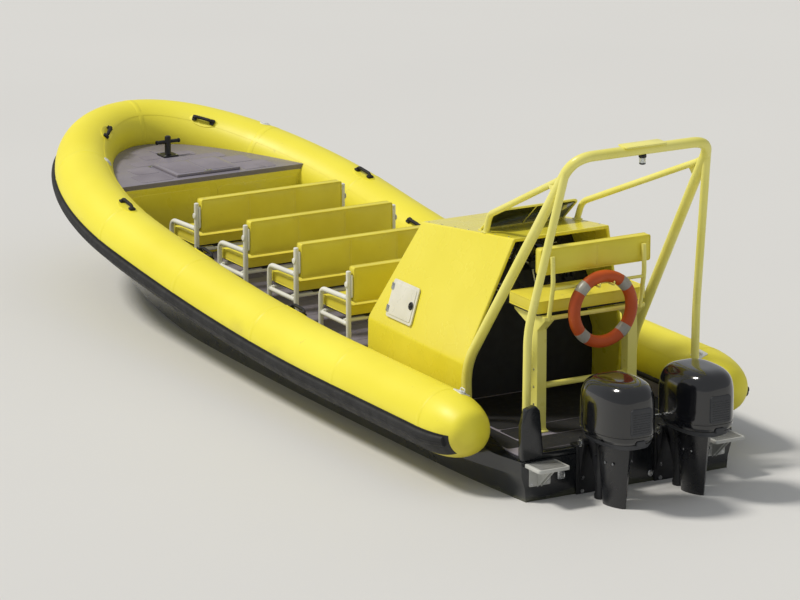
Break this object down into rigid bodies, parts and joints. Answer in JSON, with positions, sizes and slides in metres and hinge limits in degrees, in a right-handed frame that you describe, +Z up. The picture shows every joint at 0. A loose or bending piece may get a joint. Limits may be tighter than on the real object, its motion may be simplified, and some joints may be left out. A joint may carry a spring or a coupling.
{
  "type": "rigid inflatable passenger boat",
  "caption": "Yellow rigid inflatable passenger boat with full-width bench rows, helm console, aft-raked arch and steered, tilting outboard motors.",
  "frame": {"origin": "on the waterline, on the centre plane, halfway along the tube collar", "axes": "+X towards the bow, +Y to port, +Z up"},
  "size_m": [8.7587, 2.7354, 3.244],
  "materials": {
    "hull_grp": "dark gelcoat on glass-fibre laminate",
    "deck_grip": "grey sanded non-slip deck coating",
    "tube_fabric": "lemon-yellow rubber-coated tube fabric, satin",
    "strake_rubber": "black moulded rubber",
    "seat_vinyl": "yellow marine vinyl over foam",
    "white_tube": "white powder coat on aluminium tube",
    "yellow_grp": "lemon-yellow gelcoat",
    "yellow_paint": "pale yellow paint on aluminium",
    "dash_panel": "black textured panel",
    "smoked_screen": "smoked acrylic",
    "white_door": "off-white moulded hatch",
    "wheel_grip": "black soft-grip rim",
    "buoy_shell": "orange moulded shell",
    "step_grp": "light grey gelcoat with non-slip top",
    "black_metal": "black powder coat",
    "motor_paint": "black marine enamel",
    "cowl_gloss": "gloss black moulded cowl",
    "powerhead_metal": "painted casting",
    "propeller_metal": "black enamel on aluminium",
    "stainless": "brushed stainless bar"
  },
  "bodies": {
    "boat": {"hull": "hull_grp", "sole": "deck_grip", "transom": "hull_grp", "collar": "tube_fabric", "rub_strake": "strake_rubber", "foredeck": "deck_grip", "mooring_post": "black_metal", "bench_frame_1": "white_tube", "bench_seat_1": "seat_vinyl", "bench_back_1": "seat_vinyl", "bench_frame_2": "white_tube", "bench_seat_2": "seat_vinyl", "bench_back_2": "seat_vinyl", "bench_frame_3": "white_tube", "bench_seat_3": "seat_vinyl", "bench_back_3": "seat_vinyl", "bench_frame_4": "white_tube", "bench_seat_4": "seat_vinyl", "bench_back_4": "seat_vinyl", "console": "yellow_grp", "dash": "dash_panel", "windscreen": "smoked_screen", "helm_seat_frame": "yellow_paint", "helm_seat_cushion": "seat_vinyl", "helm_back_cushion": "seat_vinyl", "lifebuoy": "buoy_shell", "arch": "yellow_paint", "port_stern_step": "step_grp", "starboard_stern_step": "step_grp", "port_clamp_bracket": "black_metal", "starboard_clamp_bracket": "black_metal"},
    "foredeck_lid": {"foredeck_lid": "deck_grip"},
    "side_locker_door": {"side_locker_door": "white_door"},
    "steering_wheel": {"steering_wheel": "wheel_grip"},
    "port_swivel": {"port_swivel_bracket": "black_metal"},
    "port_motor": {"port_motor_leg": "motor_paint", "port_cowl": "cowl_gloss", "port_powerhead": "powerhead_metal"},
    "port_propeller": {"port_propeller": "propeller_metal"},
    "starboard_swivel": {"starboard_swivel_bracket": "black_metal"},
    "starboard_motor": {"starboard_motor_leg": "motor_paint", "starboard_cowl": "cowl_gloss", "starboard_powerhead": "powerhead_metal"},
    "starboard_propeller": {"starboard_propeller": "propeller_metal"},
    "tie_bar": {"tie_bar": "stainless"}
  },
  "joints": [
    {"name": "lid_hinge", "type": "hinge", "parent": "boat", "child": "foredeck_lid", "pos_m": [2.672, 0, 0.9603], "axis": [0, 1, 0], "range_deg": [0, 85]},
    {"name": "locker_door_hinge", "type": "hinge", "parent": "boat", "child": "side_locker_door", "pos_m": [-1.853, 0.67599, 0.80845], "axis": [0, 0.2873, -0.9578], "range_deg": [0, 110]},
    {"name": "port_tilt", "type": "hinge", "parent": "boat", "child": "port_swivel", "pos_m": [-4.2, 0.33, 0.39], "axis": [0, 1, 0], "range_deg": [0, 65]},
    {"name": "starboard_tilt", "type": "hinge", "parent": "boat", "child": "starboard_swivel", "pos_m": [-4.2, -0.33, 0.39], "axis": [0, 1, 0], "range_deg": [0, 65]},
    {"name": "port_steer", "type": "hinge", "parent": "port_swivel", "child": "port_motor", "pos_m": [-4.33, 0.33, 0.2], "axis": [0, 0, 1], "range_deg": [-30, 30]},
    {"name": "starboard_steer", "type": "hinge", "parent": "starboard_swivel", "child": "starboard_motor", "pos_m": [-4.33, -0.33, 0.2], "axis": [0, 0, 1], "range_deg": [-30, 30]},
    {"name": "port_propeller_spin", "type": "hinge", "parent": "port_motor", "child": "port_propeller", "pos_m": [-4.661, 0.33, -0.49], "axis": [1, 0, 0], "continuous": true},
    {"name": "starboard_propeller_spin", "type": "hinge", "parent": "starboard_motor", "child": "starboard_propeller", "pos_m": [-4.661, -0.33, -0.49], "axis": [1, 0, 0], "continuous": true},
    {"name": "tie_bar_pin", "type": "hinge", "parent": "port_motor", "child": "tie_bar", "pos_m": [-4.18, 0.33, 0.49], "axis": [0, 0, 1], "range_deg": [-30, 30]},
    {"name": "wheel_turn", "type": "hinge", "parent": "boat", "child": "steering_wheel", "pos_m": [-2.85, 0, 1.335], "axis": [-0.9659, 0, 0.2588], "range_deg": [-630, 630]}
  ],
  "couplings": [
    {"joint": "starboard_tilt", "follows": "port_tilt", "ratio": 1},
    {"joint": "starboard_steer", "follows": "port_steer", "ratio": 1},
    {"joint": "tie_bar_pin", "follows": "port_steer", "ratio": -1},
    {"joint": "wheel_turn", "follows": "port_steer", "ratio": 21}
  ]
}
